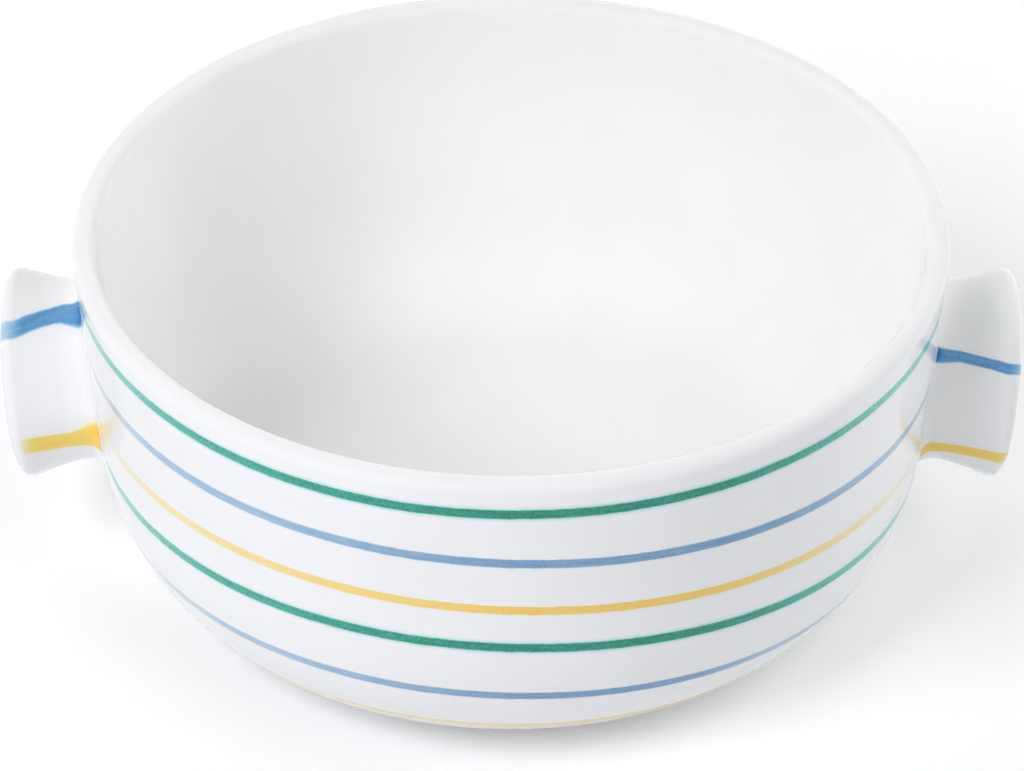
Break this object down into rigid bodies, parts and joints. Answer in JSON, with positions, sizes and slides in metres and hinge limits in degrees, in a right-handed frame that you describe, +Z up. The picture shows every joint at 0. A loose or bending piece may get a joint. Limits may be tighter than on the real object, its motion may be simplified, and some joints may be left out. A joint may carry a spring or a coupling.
{
  "type": "soup bowl",
  "caption": "Round glazed ceramic soup bowl with short flared lug handles on both sides, a rounded lip, a foot ring and hand-painted coloured bands.",
  "frame": {"origin": "centre of the foot ring, on the surface that the bowl stands on", "axes": "+X through the right handle, +Y to the back, +Z up along the bowl's axis"},
  "size_m": [0.1642, 0.1402, 0.0625],
  "materials": {
    "white_glaze": "glossy",
    "green_colour": "glossy",
    "blue_colour": "glossy",
    "yellow_colour": "glossy"
  },
  "bodies": {
    "root": {"bowl_body": "white_glaze", "handle_left": "white_glaze", "luting_slip_left": "white_glaze", "handle_right": "white_glaze", "luting_slip_right": "white_glaze", "band_green_upper_front": "green_colour", "band_green_upper_back": "green_colour", "band_blue_upper_front": "blue_colour", "band_blue_upper_back": "blue_colour", "band_yellow_upper_front": "yellow_colour", "band_yellow_upper_back": "yellow_colour", "band_green_lower_front": "green_colour", "band_green_lower_back": "green_colour", "band_blue_lower_front": "blue_colour", "band_blue_lower_back": "blue_colour", "band_yellow_foot_front": "yellow_colour", "band_yellow_foot_back": "yellow_colour", "handle_left_stroke_yellow_front": "yellow_colour", "handle_left_stroke_blue_front": "blue_colour", "handle_left_stroke_yellow_back": "yellow_colour", "handle_left_stroke_blue_back": "blue_colour", "handle_right_stroke_yellow_front": "yellow_colour", "handle_right_stroke_blue_front": "blue_colour", "handle_right_stroke_yellow_back": "yellow_colour", "handle_right_stroke_blue_back": "blue_colour"}
  },
  "joints": []
}
